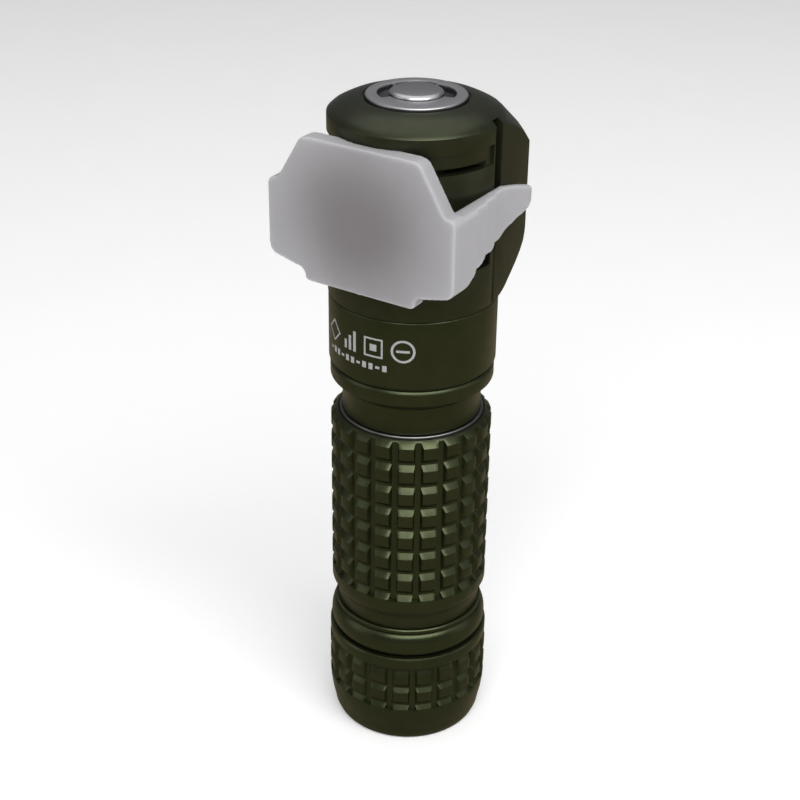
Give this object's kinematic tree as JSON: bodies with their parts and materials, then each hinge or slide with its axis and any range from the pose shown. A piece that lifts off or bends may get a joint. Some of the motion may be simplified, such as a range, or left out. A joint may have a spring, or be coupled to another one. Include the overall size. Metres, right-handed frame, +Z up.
{
  "type": "right-angle flashlight",
  "caption": "Right-angle flashlight: knurled battery tube and tail cap, domed head with a top push button, side lens and a clip-on milky diffuser.",
  "frame": {"origin": "centre of the tail face, on the axis of the battery tube", "axes": "+Z up along the battery tube to the button, -Y the way the lens looks, +X to the right as seen by someone that the light shines on"},
  "size_m": [0.034, 0.0342, 0.1176],
  "materials": {
    "anodised_tube": "satin",
    "anodised_ring": "satin",
    "anodised_cap": "satin",
    "anodised_collar": "satin",
    "anodised_sleeve": "satin",
    "anodised_head": "satin",
    "anodised_bezel": "satin",
    "nitrile": "matte",
    "cell_can": "satin",
    "cell_wrap": "gloss",
    "white_insulator": "matte",
    "nickel": "satin",
    "board_green": "gloss",
    "brass_ring": "satin",
    "gold_spring": "polished",
    "magnet_nickel": "polished",
    "black_cover": "matte",
    "bright_washer": "satin",
    "chip_black": "matte",
    "copper_board": "satin",
    "phosphor": "gloss",
    "wire_red": "gloss",
    "wire_white": "gloss",
    "mirror_bowl": "polished",
    "lens_glass": "clear",
    "stem_red": "matte",
    "silicone": "matte",
    "spring_steel": "satin",
    "stainless_button": "bead blasted",
    "stainless_bezel": "bead blasted",
    "milky_plastic": "satin"
  },
  "bodies": {
    "tube": {"battery_tube": "anodised_tube", "stop_ring": "anodised_ring", "tail_o_ring": "nitrile", "battery_cell": "cell_can", "battery_wrap": "cell_wrap", "battery_insulator": "white_insulator", "battery_positive": "nickel"},
    "cap_carrier": {"tail_magnet": "magnet_nickel"},
    "cap": {"tail_cap": "anodised_cap", "tail_board": "board_green", "tail_retainer": "brass_ring", "tail_spring": "gold_spring", "magnet_cover": "black_cover"},
    "head_carrier": {"neck_washer": "bright_washer"},
    "head": {"head_collar": "anodised_collar", "neck_o_ring": "nitrile", "head_sleeve": "anodised_sleeve", "head_housing": "anodised_head", "driver_board": "board_green", "driver_parts": "chip_black", "driver_retainer": "brass_ring", "head_spring": "gold_spring", "led_board": "copper_board", "led_emitter": "phosphor", "led_centring_ring": "white_insulator", "led_wires": "wire_red", "reflector": "mirror_bowl", "lens": "lens_glass", "lens_o_ring": "nitrile", "lens_bezel": "anodised_bezel", "switch_board": "board_green", "tact_switch": "chip_black", "switch_wires": "wire_white", "switch_boot": "silicone", "wave_washer": "spring_steel", "switch_bezel": "stainless_bezel"},
    "push_button": {"button": "stainless_button", "button_stem": "stem_red"},
    "clip_on": {"diffuser": "milky_plastic"}
  },
  "joints": [
    {"name": "cap_travel", "type": "slide", "parent": "tube", "child": "cap_carrier", "axis": [0, 0, -1], "range_m": [0, 0.004]},
    {"name": "cap_turn", "type": "hinge", "parent": "cap_carrier", "child": "cap", "pos_m": [0, 0, 0], "axis": [0, 0, -1], "range_deg": [0, 1440]},
    {"name": "head_travel", "type": "slide", "parent": "tube", "child": "head_carrier", "axis": [0, 0, 1], "range_m": [0, 0.003]},
    {"name": "head_turn", "type": "hinge", "parent": "head_carrier", "child": "head", "pos_m": [0, 0, 0.062], "axis": [0, 0, 1], "range_deg": [0, 1080]},
    {"name": "button_press", "type": "slide", "parent": "head", "child": "push_button", "axis": [0, 0, -1], "range_m": [0, 0.0006], "stiffness_N_per_m": 500, "springref_m": -0.002, "deforming": ["wave_washer", "switch_boot"]},
    {"name": "diffuser_pull", "type": "slide", "parent": "head", "child": "clip_on", "axis": [0, -1, 0], "range_m": [0, 0.03]}
  ],
  "couplings": [
    {"joint": "cap_turn", "follows": "cap_travel", "rad_per_m": 6283.2},
    {"joint": "head_turn", "follows": "head_travel", "rad_per_m": 6283.2}
  ]
}
